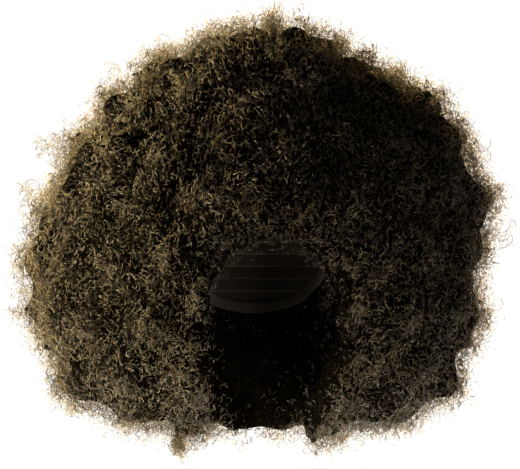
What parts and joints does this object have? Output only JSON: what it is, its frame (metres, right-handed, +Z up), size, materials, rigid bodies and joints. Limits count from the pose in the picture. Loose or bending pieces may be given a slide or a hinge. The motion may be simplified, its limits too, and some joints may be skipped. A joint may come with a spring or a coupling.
{
  "type": "afro wig",
  "caption": "Very large round afro wig: crimped dark brown hair in groups of weft rows on a thin stretch cap with bound edges, open in front of the face and below for the neck.",
  "frame": {"origin": "where the crown of the head meets the inside of the cap", "axes": "+Z up, -Y the way the wearer faces, +X to the wearer's left"},
  "size_m": [0.5098, 0.4384, 0.4641],
  "materials": {
    "hair": "crimped synthetic hair, near black in the depths with warm brown tips, soft sheen",
    "cap_net": "fine stretch net with rows of machine-sewn wefts, matt black-brown",
    "binding": "folded woven tape with one row of stitching",
    "elastic": "ribbed elastic tape, slightly gathered"
  },
  "bodies": {
    "root": {"cap": "cap_net", "front_binding": "binding", "nape_elastic": "elastic", "hair_crown": "hair", "hair_sides": "hair", "hair_nape": "hair"}
  },
  "joints": []
}
